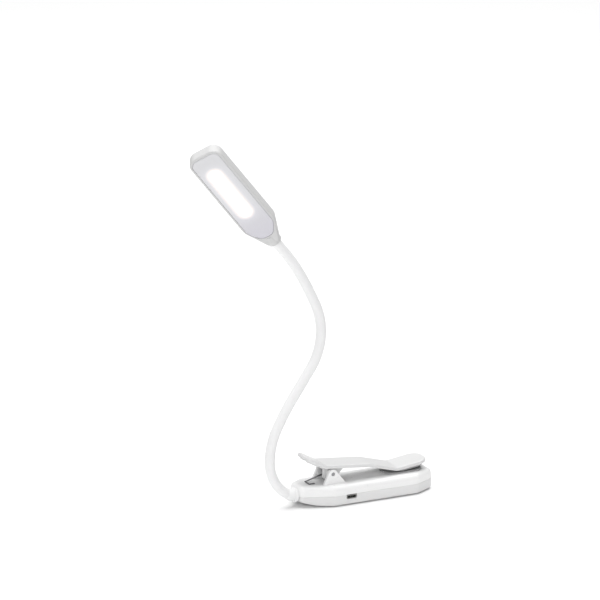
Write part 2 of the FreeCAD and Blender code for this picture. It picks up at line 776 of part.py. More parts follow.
# ---- side-press switch behind the power button
sw_body = box("switch_case", D.button_x - 3.0, 9.4, 5.3, 6.0, 3.2, 2.6)
sw_stem = box("switch_stem", D.button_x - 1.3, 12.6, 6.0, 2.6, 1.3, 1.2)
name_part(fuse("switch_whole", [sw_body, sw_stem]), "tact_switch")

# ---- power button: cap with a flange inside the wall and a plunger
b = new_body("power_button")
btn_z0, btn_z1 = btn_low + D.button_gap, D.seam_z - D.button_gap
sk = sketch(b, "XZ_Plane", "button_cap_profile", -half_wid - D.button_proud)
polygon(
    sk,
    [
        (D.button_x - D.button_len / 2, btn_z1),
        (D.button_x - D.button_len / 2, btn_z0),
        (D.button_x + D.button_len / 2, btn_z0),
        (D.button_x + D.button_len / 2, btn_z1),
    ],
)
pad(b, sk, "button_cap", D.button_proud + D.wall + 0.7)


def cap_corner(e):
    bb = e.BoundBox
    return bb.XLength < 1e-4 and bb.ZLength < 1e-4 and bb.YLength > 1


dress(b, "Fillet", "button_corners", 1.2, cap_corner)
dress(
    b,
    "Fillet",
    "button_edge",
    0.35,
    lambda e: abs(e.BoundBox.YMin - (half_wid + D.button_proud).value) < 1e-3
    and e.BoundBox.YLength < 1e-3,
)
sk = sketch(b, "XZ_Plane", "button_flange_profile", -half_wid + D.wall + 0.05)
polygon(
    sk,
    [
        (D.button_x - D.button_len / 2 - 1.0, btn_z1),
        (D.button_x - D.button_len / 2 - 1.0, btn_z0),
        (D.button_x + D.button_len / 2 + 1.0, btn_z0),
        (D.button_x + D.button_len / 2 + 1.0, btn_z1),
    ],
)
pad(b, sk, "button_flange", 0.6)

# ---- battery pouch and its leads
b = new_body("battery_cell")
sk = sketch(b, "XY_Plane", "battery_plan", 2.7)
polygon(sk, both_sides([(-6.0, 12.5), (36.0, 12.5)]))
pad(b, sk, "battery_block", 7.0)
dress(b, "Fillet", "battery_long_edges", 1.6, lambda e: e.BoundBox.XLength > 10)
tape = box("tape_sheet", 0.0, -9.0, 9.7, 26.0, 18.0, 0.8)
name_part(tape, "battery_foam")
sound(tape)


def tube_path(name, points, r):
    """A wire through points: straight runs and round elbows of spheres."""
    pieces = []
    for i in range(len(points) - 1):
        a, c = V(*points[i]), V(*points[i + 1])
        run = c - a
        cyl = tool("Cylinder", "%s_run%d" % (name, i), Radius=r, Height=run.Length)
        cyl.Placement = FreeCAD.Placement(a, FreeCAD.Rotation(V(0, 0, 1), run))
        pieces.append(cyl)
        if i:
            ball = tool("Sphere", "%s_elbow%d" % (name, i), Radius=r)
            ball.Placement.Base = a
            pieces.append(ball)
    return fuse(name, pieces)


leads = doc.addObject("Part::Compound", "battery_lead_group")
leads.Links = [
    tube_path("lead_plus", [(-6.1, 4.0, 6.2), (-8.2, 4.0, 6.2), (-10.0, 4.0, 6.2)], 0.55),
    tube_path("lead_minus", [(-6.1, 1.6, 6.2), (-8.2, 1.6, 6.2), (-10.0, 1.6, 6.2)], 0.55),
]
name_part(leads, "battery_leads")

# ---- pad let into the base top under the jaw
b = new_body("jaw_pad_base")
sk = sketch(b, "XY_Plane", "jaw_pad_plan", D.base_ht)
polygon(
    sk,
    [
        (D.jaw_pad_a, D.jaw_pad_half),
        (D.jaw_pad_b, D.jaw_pad_half),
        (D.jaw_pad_b, -D.jaw_pad_half),
        (D.jaw_pad_a, -D.jaw_pad_half),
    ],
)
pad(b, sk, "jaw_pad_block", D.jaw_pad_thk)
dress(b, "Fillet", "jaw_pad_corners", D.jaw_pad_corner, upright)
dress(
    b, "Fillet", "jaw_pad_edge", 0.35, lambda e: at_z(e, (D.base_ht + D.jaw_pad_thk).value)
)

# ---- clip pin
pin = rod("pin_rod", D.pin_x, D.pin_len / -2, D.pin_z, D.pin_dia / 2, D.pin_len, ALONG_Y)
doc.recompute()
pin = doc.addObject("Part::Chamfer", "pin_chamfer")
pin.Base = doc.getObject("pin_rod")
pin.Edges = [
    (i + 1, 0.25, 0.25)
    for i, e in enumerate(doc.getObject("pin_rod").Shape.Edges)
    if e.BoundBox.YLength < 1e-4
]
name_part(sound(pin), "clip_pin")

# ================================================================== the lever
TOP = [
    (D.lever_tip_x, D.lever_tip_z),
    (D.lever_kink_x, D.lever_kink_z),
    (D.lever_mid_x, D.lever_mid_z),
    (D.lever_dip_x, D.lever_dip_z),
    (D.lever_end_x, D.lever_end_z),
]


def below(points, thickness):
    """The same line, a thickness further down, mitred at its bends."""
    flat = [(x.value, z.value) for x, z in points]
    out = []
    for i, (x, z) in enumerate(points):
        dirs = []
        for j, k in ((i - 1, i), (i, i + 1)):
            if j >= 0 and k < len(flat):
                dx, dz = flat[k][0] - flat[j][0], flat[k][1] - flat[j][1]
                size = math.hypot(dx, dz)
                dirs.append((dz / size, -dx / size))
        mx, mz = sum(d[0] for d in dirs), sum(d[1] for d in dirs)
        size = math.hypot(mx, mz)
        mx, mz = mx / size, mz / size
        stretch = 1.0 / (mx * dirs[0][0] + mz * dirs[0][1])
        out.append((x + thickness * (mx * stretch), z + thickness * (mz * stretch)))
    return out


b = new_body("clip_lever")
sk = sketch(b, "XZ_Plane", "lever_profile")
UNDER = below(TOP, D.lever_thk)
polygon(sk, TOP + UNDER[::-1])
pad(b, sk, "lever_plate", D.lever_wid, symmetric=True)


def bend(points, which):
    x, z = points[which][0].value, points[which][1].value

    def test(e):
        bb = e.BoundBox
        return crosswise(e) and math.hypot(bb.XMin - x, bb.ZMin - z) < 1e-3

    return test


for i, (upper, lower) in {1: (5.0, 7.8), 2: (16.0, 13.2), 3: (6.0, 8.8)}.items():
    convex = i == 2
    dress(b, "Fillet", "lever_bend_top_%d" % i, upper, bend(TOP, i))
    dress(b, "Fillet", "lever_bend_under_%d" % i, lower, bend(UNDER, i))


def short_edge(x_low, x_high):
    def test(e):
        bb = e.BoundBox
        return (
            bb.YLength < 1e-4
            and x_low <= bb.XMin
            and bb.XMax <= x_high
            and bb.ZLength > 1.5
        )

    return test


dress(
    b,
    "Fillet",
    "lever_handle_round",
    D.lever_tip_round,
    short_edge((D.lever_tip_x - 3).value, (D.lever_tip_x + 0.5).value),
)
dress(
    b,
    "Fillet",
    "lever_jaw_round",
    D.lever_end_round,
    short_edge((D.lever_end_x - 0.5).value, (D.lever_end_x + 3).value),
)


def rim_edge(e):
    """Edges of the outline, top and bottom: everything that is neither a bend line nor a thickness edge."""
    bb = e.BoundBox
    if crosswise(e) and bb.YLength > 15:
        return False
    flatness = bb.ZLength / max(bb.XLength, bb.YLength, 1e-9)
    thick = math.hypot(bb.XLength, bb.ZLength)
    if bb.YLength < 1e-4 and 2.5 < thick < 3.1 and flatness > 1.0:
        return False
    return True


dress(b, "Fillet", "lever_rim", D.lever_edge, rim_edge)


def lug_points():
    return [
        (-48.5, 36.8),
        (-36.0, 30.8),
        (-16.2, 28.2),
        (-23.5, 20.1),
        (-26.4, 17.6),
        (-31.8, 17.6),
        (-34.7, 20.4),
        (-34.7, 27.2),
        (-48.3, 34.4),
    ]


for side, lift in (("near", D.lug_in), ("far", -D.lug_in - D.lug_thk)):
    sk = sketch(b, "XZ_Plane", "lug_%s_profile" % side, lift)
    polygon(sk, lug_points())
    pad(b, sk, "lug_" + side, D.lug_thk)
for side, lift in (("near", D.lug_in + D.lug_thk), ("far", -D.hub_out)):
    sk = sketch(b, "XZ_Plane", "hub_%s_profile" % side, lift)
    circle(sk, D.pin_x, D.pin_z, D.lug_hub)
    pad(b, sk, "hub_" + side, D.hub_out - D.lug_in - D.lug_thk)
sk = sketch(b, "XZ_Plane", "lever_bore_profile")
circle(sk, D.pin_x, D.pin_z, D.pin_dia / 2 + D.pin_run)
pocket(b, sk, "lever_bore", D.lever_wid + 4, symmetric=True)

# ---- rubber pad under the jaw end of the lever
b = new_body("jaw_pad_lever")
sk = sketch(b, "XY_Plane", "tip_pad_plan")
polygon(
    sk,
    [
        (0.0, D.tip_pad_half),
        (D.tip_pad_len, D.tip_pad_half),
        (D.tip_pad_len, -D.tip_pad_half),
        (0.0, -D.tip_pad_half),
    ],
)
pad(b, sk, "tip_pad_block", D.tip_pad_thk, back=True)
dress(
    b, "Fillet", "tip_pad_tail", 7.2, lambda e: upright(e) and e.BoundBox.XMin > 1.0
)
dress(
    b, "Fillet", "tip_pad_nose", 2.0, lambda e: upright(e) and e.BoundBox.XMin < 1.0
)
dress(b, "Fillet", "tip_pad_edge", 0.3, lambda e: at_z(e, -D.tip_pad_thk.value))
slope = math.atan2(
    D.lever_end_z.value - D.lever_dip_z.value, D.lever_end_x.value - D.lever_dip_x.value
)
start = 3.0
b.Placement = FreeCAD.Placement(
    V(
        UNDER[3][0].value + start * math.cos(slope) + 0.02 * math.sin(slope),
        0,
        UNDER[3][1].value + start * math.sin(slope) - 0.02 * math.cos(slope),
    ),
    FreeCAD.Rotation(V(0, 1, 0), -math.degrees(slope)),
)

# ================================================================= the spring
# Torsion spring about the pin: a coil, a looped foot on the base's top and an
# upper leg under the handle.
r_w, r_c = D.spring_wire.value / 2, D.spring_coil.value
px, pz = D.pin_x.value, D.pin_z.value
foot = (D.spring_foot_x.value, D.base_ht.value + r_w + 0.1)
under_slope = (UNDER[1][1].value - UNDER[0][1].value) / (UNDER[1][0].value - UNDER[0][0].value)
top_z = UNDER[0][1].value + under_slope * (D.spring_top_x.value - UNDER[0][0].value)
head_pt = (D.spring_top_x.value, top_z - r_w * math.hypot(1, under_slope) - 0.15)


def tangent_angle(point, side):
    dx, dz = point[0] - px, point[1] - pz
    return math.atan2(dz, dx) + side * math.acos(r_c / math.hypot(dx, dz))


a_low = tangent_angle(foot, 1) % (2 * math.pi)
a_top = tangent_angle(head_pt, -1) % (2 * math.pi)
turns = 5
span = (a_top - a_low) % (2 * math.pi) + turns * 2 * math.pi
y_far, y_near = D.spring_half.value, -D.spring_half.value
pitch = (y_far - y_near) / (span / (2 * math.pi))
helix = Part.makeHelix(pitch, y_far - y_near, r_c)
# the helix climbs +Z from angle 0; lay it along -Y and turn its start to a_low
m = FreeCAD.Matrix()
ca, sa = math.cos(a_low), math.sin(a_low)
# local x -> (cos a, 0, sin a), local y -> (-sin a, 0, cos a), local z -> -Y
m.A11, m.A12, m.A13, m.A14 = ca, -sa, 0, px
m.A21, m.A22, m.A23, m.A24 = 0, 0, -1, y_far
m.A31, m.A32, m.A33, m.A34 = sa, ca, 0, pz
helix = helix.transformed(m)
p_low = V(px + r_c * math.cos(a_low), y_far, pz + r_c * math.sin(a_low))
p_top = V(px + r_c * math.cos(a_top), y_near, pz + r_c * math.sin(a_top))


def wire_run(a, c):
    return Part.makeCylinder(r_w, (c - a).Length, a, c - a)


coil_wire = Part.Wire(helix.Edges)
start_dir = coil_wire.Edges[0].tangentAt(coil_wire.Edges[0].FirstParameter)
profile = Part.Wire([Part.makeCircle(r_w, coil_wire.Edges[0].valueAt(coil_wire.Edges[0].FirstParameter), start_dir)])
coil_solid = coil_wire.makePipeShell([profile], True, True)
back_end = V(foot[0] + 4.5, y_near, foot[1])
f_far, f_near = V(foot[0], y_far, foot[1]), V(foot[0], y_near, foot[1])
h_near = V(head_pt[0], y_near, head_pt[1])
h_far = V(head_pt[0], y_far - 1.0, head_pt[1])
pieces = [
    wire_run(p_low, f_far),
    Part.makeSphere(r_w, f_far),
    wire_run(f_far, f_near),
    Part.makeSphere(r_w, f_near),
    wire_run(f_near, back_end),
    Part.makeSphere(r_w * 1.15, p_low),
    Part.makeSphere(r_w * 1.15, p_top),
    wire_run(p_top, h_near),
    Part.makeSphere(r_w, h_near),
    wire_run(h_near, h_far),
]
spring_shape = coil_solid.multiFuse(pieces)
if len(spring_shape.Solids) != 1:
    fail("the spring is %d solids" % len(spring_shape.Solids))
spring = doc.addObject("Part::Feature", "clip_spring_wire")
spring.Shape = spring_shape.Solids[0]
name_part(spring, "clip_spring")

# ============================================================== the gooseneck
TURNS = [getattr(D, "turn_" + c) for c in "abcdefghij"]
LINKS = len(TURNS)


def stretch(k):
    return D.neck_first if k == 0 else D.neck_last if k == LINKS - 1 else D.neck_step


class Path:
    """The neck's centreline in the XZ plane: arcs and straights end to end."""

    def __init__(self):
        self.knots = [(-half_len.value, D.neck_z.value, math.radians(D.neck_start.value))]
        for k in range(LINKS):
            self.knots.append(self.step(self.knots[-1], k, stretch(k).value))

    def step(self, knot, k, ds):
        x, z, th = knot
        turn = math.radians(TURNS[k].value) * ds / stretch(k).value
        chord = ds if abs(turn) < 1e-9 else ds * math.sin(turn / 2) / (turn / 2)
        return (x + chord * math.cos(th + turn / 2), z + chord * math.sin(th + turn / 2), th + turn)

    def at(self, k, ds):
        return self.step(self.knots[k], k, ds)


path = Path()


def link_solid(name, k, s0, s1, r):
    """A round bar along stretch k from s0 to s1: part of a torus, or a cylinder."""
    x, z, th = path.at(k, s0)
    t = V(math.cos(th), 0, math.sin(th))
    turn = TURNS[k].value * (s1 - s0) / stretch(k).value
    if abs(TURNS[k].value) < 1e-9:
        obj = tool("Cylinder", name, Radius=r, Height=s1 - s0)
        obj.Placement = FreeCAD.Placement(V(x, 0, z), FreeCAD.Rotation(V(0, 0, 1), t))
        return obj
    sign = 1.0 if turn > 0 else -1.0
    big = stretch(k) * (180.0 / math.pi) / (TURNS[k] * sign)
    obj = tool("Torus", name, Radius1=big, Radius2=r, Angle3=abs(turn))
    # torus axis: about -Y for a left turn (towards +Z from +X), +Y for a right one
    zdir = V(0, -sign, 0)
    n = V(-math.sin(th), 0, math.cos(th)) * sign
    centre = V(x, 0, z) + n * big.value
    xdir = n * -1.0
    ydir = zdir.cross(xdir)
    m = FreeCAD.Matrix(
        xdir.x, ydir.x, zdir.x, centre.x,
        xdir.y, ydir.y, zdir.y, centre.y,
        xdir.z, ydir.z, zdir.z, centre.z,
        0, 0, 0, 1,
    )
    obj.Placement = FreeCAD.Placement(m)
    return obj


def ball(name, k, ds, r):
    x, z, th = path.at(k, ds)
    obj = tool("Sphere", name, Radius=r)
    obj.Placement.Base = V(x, 0, z)
    return obj


r_neck, r_core = D.neck_dia / 2, D.core_dia / 2
for k in range(LINKS):
    length = stretch(k).value
    first, last = k == 0, k == LINKS - 1
    # silicone sleeve: from behind this link's cup to just short of the next ball
    s0 = 0.0 if first else -D.cup_back.value
    s1 = length + 1.0 if last else length - D.link_gap.value
    outer = link_solid("sleeve_outer_%d" % k, k, s0, s1, r_neck)
    bore = link_solid("sleeve_bore_%d" % k, k, -1.5, s1 + 1.0, r_core)
    if first:
        hollow = bore
    else:
        hollow = fuse(
            "sleeve_hollow_%d" % k,
            [bore, ball("sleeve_cup_%d" % k, k, 0.0, D.ball_dia / 2 + D.ball_gap)],
        )
    name_part(cut("sleeve_%d" % k, outer, hollow), "neck_sleeve_%d" % k)
    # core link: starts clear of the previous ball, ends in its own ball
    c0 = -9.0 if first else D.core_gap.value
    c1 = length + 6.4 if last else length
    core = link_solid("core_bar_%d" % k, k, c0, c1, r_core)
    if first:
        # straight tail inside the casing
        core = fuse(
            "core_joined_0",
            [
                link_solid("core_bar_00", 0, 0.0, length, r_core),
                rod("core_tail", -half_len, 0, D.neck_z, r_core, D.cavity_nose + 3.0, ALONG_X),
                ball("core_knee", 0, 0.0, r_core),
            ],
        )
        doc.removeObject("core_bar_0")
    if not last:
        core = fuse("core_%d" % k, [core, ball("core_ball_%d" % k, k, length, D.ball_dia / 2)])
    name_part(core, "neck_core_%d" % k)
    sound(core)

# end fitting of the neck inside the head's collar: head frame, +Y towards the tip
hx, hz, hth = path.knots[-1]
y_dir = V(math.cos(hth), 0, math.sin(hth))
z_dir = V(D.face_nx.value, D.face_ny.value, D.face_nz.value)
z_dir = z_dir - y_dir * z_dir.dot(y_dir)
z_dir.normalize()
x_dir = y_dir.cross(z_dir)
HEAD = FreeCAD.Placement(
    FreeCAD.Matrix(
        x_dir.x, y_dir.x, z_dir.x, hx,
        x_dir.y, y_dir.y, z_dir.y, 0,
        x_dir.z, y_dir.z, z_dir.z, hz,
        0, 0, 0, 1,
    )
)


def in_head(obj):
    """Put an object that was built in the head's own frame where the head is."""
    doc.recompute()
    obj.Placement = HEAD.multiply(obj.Placement)
    return obj


ring = rod("ferrule_ring", 0, 0, 0, 3.4, 1.4, ALONG_Y)
ring.Placement = HEAD.multiply(FreeCAD.Placement(V(0, 8.0, 0), ALONG_Y))
eye = rod("ferrule_eye", 0, 0, 0, r_core, 3.0, ALONG_Y)
eye.Placement = HEAD.multiply(FreeCAD.Placement(V(0, 6.5, 0), ALONG_Y))
name_part(fuse("ferrule_whole", [ring, eye]), "neck_ferrule")

# ---- boot: ring and flare round the neck where it leaves the nose
knee_x, knee_z, knee_th = path.at(0, 1.0)
pieces = []
for name, s, length, ra, rb in (
    ("boot_ring", 0.0, 1.9, D.flange_dia / 2, D.flange_dia / 2),
    ("boot_flare_a", 1.7, 2.8, D.boot_dia / 2 + 0.1, D.neck_dia / 2 + 0.75),
    ("boot_flare_b", 4.2, 3.2, D.neck_dia / 2 + 0.78, D.neck_dia / 2 + 0.35),
):
    x, z, th = path.at(0, s)
    if rb.value == ra.value:
        obj = tool("Cylinder", name, Radius=ra, Height=length)
    else:
        obj = tool("Cone", name, Radius1=ra, Radius2=rb, Height=length)
    half = path.at(0, s + length / 2)[2]
    if s == 0.0:
        half = math.pi
    obj.Placement = FreeCAD.Placement(
        V(x, 0, z), FreeCAD.Rotation(V(0, 0, 1), V(math.cos(half), 0, math.sin(half)))
    )
    pieces.append(obj)
outer = fuse("boot_outer", pieces)
bore = link_solid("boot_bore", 0, -2.0, stretch(0).value, r_neck)
name_part(cut("boot_whole", outer, bore), "neck_boot")

# ---- anchor: collar crimped on the core inside the casing
tube = rod("anchor_tube", -half_len + 0.4, 0, D.neck_z, D.neck_dia / 2, D.cavity_nose - 0.4, ALONG_X)
plate = rod("anchor_plate", -half_len + D.cavity_nose, 0, D.neck_z, 5.0, 1.4, ALONG_X)
hole = rod("anchor_hole", -half_len - 1, 0, D.neck_z, r_core + 0.25, D.cavity_nose + 4, ALONG_X)
name_part(cut("anchor_whole", fuse("anchor_blank", [tube, plate]), hole), "neck_anchor")

# =================================================================== the head
half_head = D.head_wid / 2
collar_r = D.head_collar_dia / 2


def head_outline(tail):
    """Plan of the head, widening from inside its collar to the shoulders."""
    return [
        (D.head_waist, tail),
        (half_head, D.head_shoulder),
        (half_head, D.head_len),
        (-half_head, D.head_len),
        (-half_head, D.head_shoulder),
        (-D.head_waist, tail),
    ]


def corner_at(x, y):
    """Upright edge at a plan point, on either side."""
    x, y = Dim.of(x).value, Dim.of(y).value

    def test(e):
        bb = e.BoundBox
        return upright(e) and abs(abs(bb.XMin) - abs(x)) < 1e-3 and abs(bb.YMin - y) < 1e-3

    return test


b = new_body("head_housing")
sk = sketch(b, "XY_Plane", "head_plan", -D.head_thk / 2)
polygon(sk, head_outline(Dim.of(2.4)))
pad(b, sk, "head_block", D.head_thk)
dress(b, "Fillet", "head_tip_corners", D.head_tip_round, corner_at(half_head, D.head_len))
dress(b, "Fillet", "head_shoulders", 14.0, corner_at(half_head, D.head_shoulder))


def head_rim(z, y_low):
    def test(e):
        return at_z(e, z) and e.BoundBox.YMax > y_low

    return test


dress(
    b, "Fillet", "head_back_edge", D.head_back_round, head_rim(-D.head_thk.value / 2, 2.5)
)
dress(
    b, "Fillet", "head_face_edge", D.head_face_round, head_rim(D.head_thk.value / 2, 2.5)
)
sk = sketch(b, "XZ_Plane", "collar_profile")
circle(sk, 0, 0, collar_r)
pad(b, sk, "collar_barrel", D.collar_run, back=True)
dress(
    b,
    "Fillet",
    "collar_lip",
    0.5,
    lambda e: abs(e.BoundBox.YMin) < 1e-4 and e.BoundBox.YLength < 1e-4,
)
lens_in = D.lens_inset - 0.12
sk = sketch(b, "XY_Plane", "lens_seat_plan", D.head_thk / 2)


def lens_outline(inset, grow):
    """Lens plan: the head's outline moved in, closing in a round end by the collar."""
    half = half_head - inset
    return [
        (5.0 + grow, D.head_collar_len + 6.5 - grow),
        (half, D.head_shoulder - 2.0),
        (half, D.head_len - inset),
        (-half, D.head_len - inset),
        (-half, D.head_shoulder - 2.0),
        (-5.0 - grow, D.head_collar_len + 6.5 - grow),
    ]


def lens_rounds(inset):
    tip = D.head_tip_round - inset
    return {0: 6.4, 1: 12.5, 2: tip, 3: tip, 4: 12.5, 5: 6.4}


polygon(sk, lens_outline(lens_in, 0.12), lens_rounds(lens_in))
pocket(b, sk, "lens_seat", D.lens_thk)


sk = sketch(b, "XY_Plane", "head_cavity_plan", D.head_thk / 2 - D.lens_thk)
polygon(
    sk,
    [
        (5.0, D.head_collar_len + 7.6),
        (half_head - 3.4, D.head_shoulder - 1.5),
        (half_head - 3.4, D.head_len - 5.0),
        (half_head - 6.0, D.head_len - 3.2),
        (6.0 - half_head, D.head_len - 3.2),
        (3.4 - half_head, D.head_len - 5.0),
        (3.4 - half_head, D.head_shoulder - 1.5),
        (-5.0, D.head_collar_len + 7.6),
    ],
)
pocket(b, sk, "head_cavity", D.head_thk - D.lens_thk - D.head_wall)
# two ribs across the cavity floor carry the LED board
sk = sketch(b, "XY_Plane", "board_rib_plan", D.head_wall - D.head_thk / 2 - 0.1)
for y in (26.0, 74.0):
    polygon(sk, [(-8.0, y), (8.0, y), (8.0, y + 1.6), (-8.0, y + 1.6)])
pad(b, sk, "board_ribs", D.head_thk / 2 - D.head_wall + 0.1 - 2.25)
# collar bores: mouth for the sleeve, journal for the core, room for the ferrule
for name, lift, r, depth in (
    ("collar_mouth", 0.0, D.neck_dia / 2 + 0.15, 1.6),
    ("collar_journal", 0.0, r_core + 0.08, 9.0),
    ("collar_room", 7.7, 3.6, 4.2),
):
    sk = sketch(b, "XZ_Plane", name + "_profile", -Dim.of(lift))
    circle(sk, 0, 0, r)
    pocket(b, sk, name, depth)
in_head(b)

# ---- frosted lens
b = new_body("diffuser_lens")
sk = sketch(b, "XY_Plane", "lens_plan", D.head_thk / 2 - D.lens_thk)
polygon(sk, lens_outline(D.lens_inset, 0.0), lens_rounds(D.lens_inset))
pad(b, sk, "lens_block", D.lens_thk + D.lens_proud)
dress(
    b,
    "Fillet",
    "lens_edge",
    0.7,
    lambda e: at_z(e, (D.head_thk / 2 + D.lens_proud).value),
)
in_head(b)

# ---- LED board, its LEDs, the reflector tray round them and the wires
led_y = 22.0
board = box("led_board_blank", -D.led_wid.value / 2, led_y, -2.2, D.led_wid, D.led_len, 1.0)
name_part(in_head(board), "led_board")
chips = []
for i in range(8):
    c = box("led_%d" % i, -1.4, led_y + 4.0 + 6.6 * i, -1.2, 2.8, 3.5, 0.8)
    chips.append(in_head(c))
group = doc.addObject("Part::Compound", "led_group")
group.Links = chips
name_part(group, "led_chips")

b = new_body("reflector_tray")
sk = sketch(b, "XY_Plane", "tray_plan", -1.2)
polygon(sk, [(-9.3, led_y - 0.6), (9.3, led_y - 0.6), (9.3, D.led_len + led_y + 0.6), (-9.3, D.led_len + led_y + 0.6)])
pad(b, sk, "tray_block_pad", 3.4)
sk = sketch(b, "XY_Plane", "tray_hole_plan", 2.2)
polygon(sk, [(-7.6, led_y + 1.0), (7.6, led_y + 1.0), (7.6, D.led_len + led_y - 1.0), (-7.6, D.led_len + led_y - 1.0)])
pocket(b, sk, "tray_hole", 5.0)
dress(b, "Chamfer", "tray_bevel", 1.1, lambda e: at_z(e, 2.2) and abs(e.BoundBox.Center.x) < 8 and
      max(abs(e.BoundBox.XMin), abs(e.BoundBox.XMax)) < 8 and led_y < e.BoundBox.YMin and e.BoundBox.YMax < led_y + 58)
in_head(b)

wires = doc.addObject("Part::Compound", "head_wire_group")
wires.Links = [
    in_head(tube_path("wire_plus", [(0.9, 9.8, 0.0), (0.9, 14.0, 0.0), (2.2, 21.4, -1.6)], 0.45)),
    in_head(tube_path("wire_minus", [(-0.9, 9.8, 0.0), (-0.9, 14.0, 0.0), (-2.2, 21.4, -1.6)], 0.45)),
]
name_part(wires, "head_wires")

# ============================================================ check and write
doc.recompute()
for obj in doc.Objects:
    if "Invalid" in obj.State or "Error" in obj.State:
        fail("%s is %s" % (obj.Name, obj.State))
os.makedirs("parts", exist_ok=True)
labels = [o.Label for o in SUBPARTS]
if len(set(labels)) != len(labels):
    fail("two sub-parts share a label")
for obj in SUBPARTS:
    shape = obj.Shape
    if shape.isNull() or not shape.isValid() or not shape.Solids:
        fail("%s has no valid solid" % obj.Label)
    shape.exportStep("parts/%s.step" % obj.Label)
    bb = shape.BoundBox
    print(
        "%-18s %2d solid(s) %9.1f mm3  x %7.2f %7.2f  y %7.2f %7.2f  z %7.2f %7.2f"
        % (obj.Label, len(shape.Solids), shape.Volume, bb.XMin, bb.XMax, bb.YMin, bb.YMax, bb.ZMin, bb.ZMax)
    )
print("%d sub-parts" % len(SUBPARTS))
print("neck knots (mm, deg):")
for k, (x, z, th) in enumerate(path.knots):
    print("  %d  %.4f  %.4f  %.4f" % (k, x, z, math.degrees(th)))
print("head frame x %s y %s z %s" % (x_dir, y_dir, z_dir))
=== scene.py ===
import json
import math

import bmesh
import bpy
from mathutils import Matrix, Vector


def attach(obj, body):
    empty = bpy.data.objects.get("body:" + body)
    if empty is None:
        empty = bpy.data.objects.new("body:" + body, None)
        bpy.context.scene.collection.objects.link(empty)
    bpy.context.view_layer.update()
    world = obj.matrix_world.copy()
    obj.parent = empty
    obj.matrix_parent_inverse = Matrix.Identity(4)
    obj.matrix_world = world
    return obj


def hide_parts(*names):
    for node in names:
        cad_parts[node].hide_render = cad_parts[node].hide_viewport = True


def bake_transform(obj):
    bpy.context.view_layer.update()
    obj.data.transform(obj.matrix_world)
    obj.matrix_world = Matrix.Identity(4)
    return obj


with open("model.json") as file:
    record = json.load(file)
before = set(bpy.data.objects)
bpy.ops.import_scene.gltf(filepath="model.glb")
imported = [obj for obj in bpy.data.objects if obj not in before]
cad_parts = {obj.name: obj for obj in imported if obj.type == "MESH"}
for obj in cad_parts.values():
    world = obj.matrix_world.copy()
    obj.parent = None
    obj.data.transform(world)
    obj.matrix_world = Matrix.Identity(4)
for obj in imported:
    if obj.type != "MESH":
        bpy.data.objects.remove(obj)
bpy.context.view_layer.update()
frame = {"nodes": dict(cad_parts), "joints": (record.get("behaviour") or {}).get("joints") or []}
MM = 0.001
NODES = frame["nodes"]
JOINTS = {j["name"]: j for j in frame["joints"]}

# ------------------------------------------------------------------ camera
# straight at the lamp's middle from the front left, a little above it
D_CAM = 20.0
RIGHT = Vector((0.891, -0.454, 0.0)).normalized()
BACK = Vector((-0.433, -0.850, 0.3007)).normalized()
UP = BACK.cross(RIGHT).normalized()
RIGHT = UP.cross(BACK).normalized()
TARGET = Vector((-51.3, 0.0, 159.8)) * MM
cam_data = bpy.data.cameras.new("camera")
cam_data.sensor_width = 36.0
cam_data.lens = 1620.0
cam = bpy.data.objects.new("camera", cam_data)
bpy.context.scene.collection.objects.link(cam)
rot = Matrix((RIGHT, UP, BACK)).transposed().to_4x4()
cam.matrix_world = Matrix.Translation(TARGET + BACK * D_CAM) @ rot
bpy.context.scene.camera = cam

# ------------------------------------------------------------------- light
scene = bpy.context.scene
scene.view_settings.view_transform = "Standard"
world = bpy.data.worlds.new("studio")
scene.world = world
world.use_nodes = True
world.node_tree.nodes["Background"].inputs["Color"].default_value = (1, 1, 1, 1)
world.node_tree.nodes["Background"].inputs["Strength"].default_value = 0.25


def softbox(name, at, aim, size, watts):
    data = bpy.data.lights.new(name, "AREA")
    data.shape = "RECTANGLE"
    data.size, data.size_y = size
    data.energy = watts
    o = bpy.data.objects.new(name, data)
    o.location = at
    o.rotation_mode = "QUATERNION"
    o.rotation_quaternion = (Vector(aim) - Vector(at)).to_track_quat("-Z", "Y")
    scene.collection.objects.link(o)
    return o


softbox("top_box", (0.08, 0.32, 1.9), (0.0, 0.12, 0.0), (2.6, 2.3), 56.0)
softbox("key_box", (-1.10, -1.52, 0.98), (-0.05, 0, 0.12), (0.6, 0.7), 13.6)


# --------------------------------------------------------------- materials
def principled(name, colour, rough, **sockets):
    m = bpy.data.materials.new(name)
    m.use_nodes = True
    nt = m.node_tree
    bsdf = nt.nodes["Principled BSDF"]
    bsdf.inputs["Base Color"].default_value = (*colour, 1)
    bsdf.inputs["Roughness"].default_value = rough
    for key, value in sockets.items():
        bsdf.inputs[key.replace("_", " ")].default_value = value
    return m, nt, bsdf


def add(nt, kind, **props):
    n = nt.nodes.new(kind)
    for k, v in props.items():
        setattr(n, k, v)
    return n


def object_coords(nt):
    return add(nt, "ShaderNodeTexCoord").outputs["Object"]


def noise(nt, vec, scale, detail=3.0, rough=0.5):
    n = add(nt, "ShaderNodeTexNoise")
    n.inputs["Scale"].default_value = scale
    n.inputs["Detail"].default_value = detail
    n.inputs["Roughness"].default_value = rough
    nt.links.new(vec, n.inputs["Vector"])
    return n.outputs["Fac"]


def remap(nt, value, lo, hi, to_lo, to_hi, smooth=False):
    n = add(nt, "ShaderNodeMapRange")
    if smooth:
        n.interpolation_type = "SMOOTHSTEP"
    n.inputs["From Min"].default_value = lo
    n.inputs["From Max"].default_value = hi
    n.inputs["To Min"].default_value = to_lo
    n.inputs["To Max"].default_value = to_hi
    nt.links.new(value, n.inputs["Value"])
    return n.outputs["Result"]


